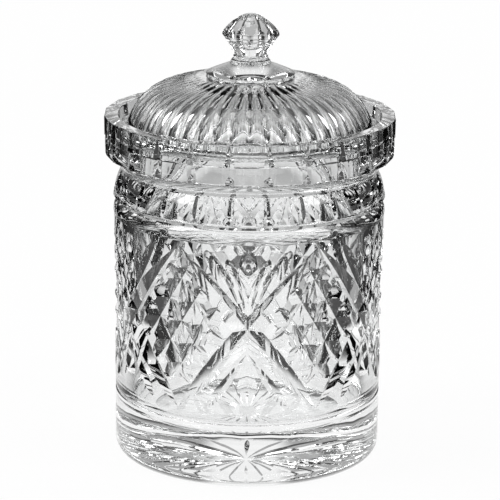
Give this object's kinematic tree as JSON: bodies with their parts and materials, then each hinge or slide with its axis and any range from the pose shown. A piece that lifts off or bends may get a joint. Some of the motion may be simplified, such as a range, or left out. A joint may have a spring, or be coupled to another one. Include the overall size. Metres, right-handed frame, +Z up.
{
  "type": "biscuit jar",
  "caption": "Lidded cut-glass biscuit jar: round body cut with crosses, fans and diamonds, stepped collar, and a lift-off domed fluted lid with a faceted knob.",
  "frame": {"origin": "on the table, in the middle of the ring the jar stands on", "axes": "+Z up the jar's axis, -Y towards the front, where the middle of one cut cross is"},
  "size_m": [0.131, 0.131, 0.2036],
  "materials": {
    "crystal": "polished"
  },
  "bodies": {
    "jar": {"jar": "crystal"},
    "lid": {"lid": "crystal"}
  },
  "joints": [
    {"name": "lid_lift", "type": "slide", "parent": "jar", "child": "lid", "axis": [0, 0, 1], "range_m": [0, 0.12]}
  ]
}
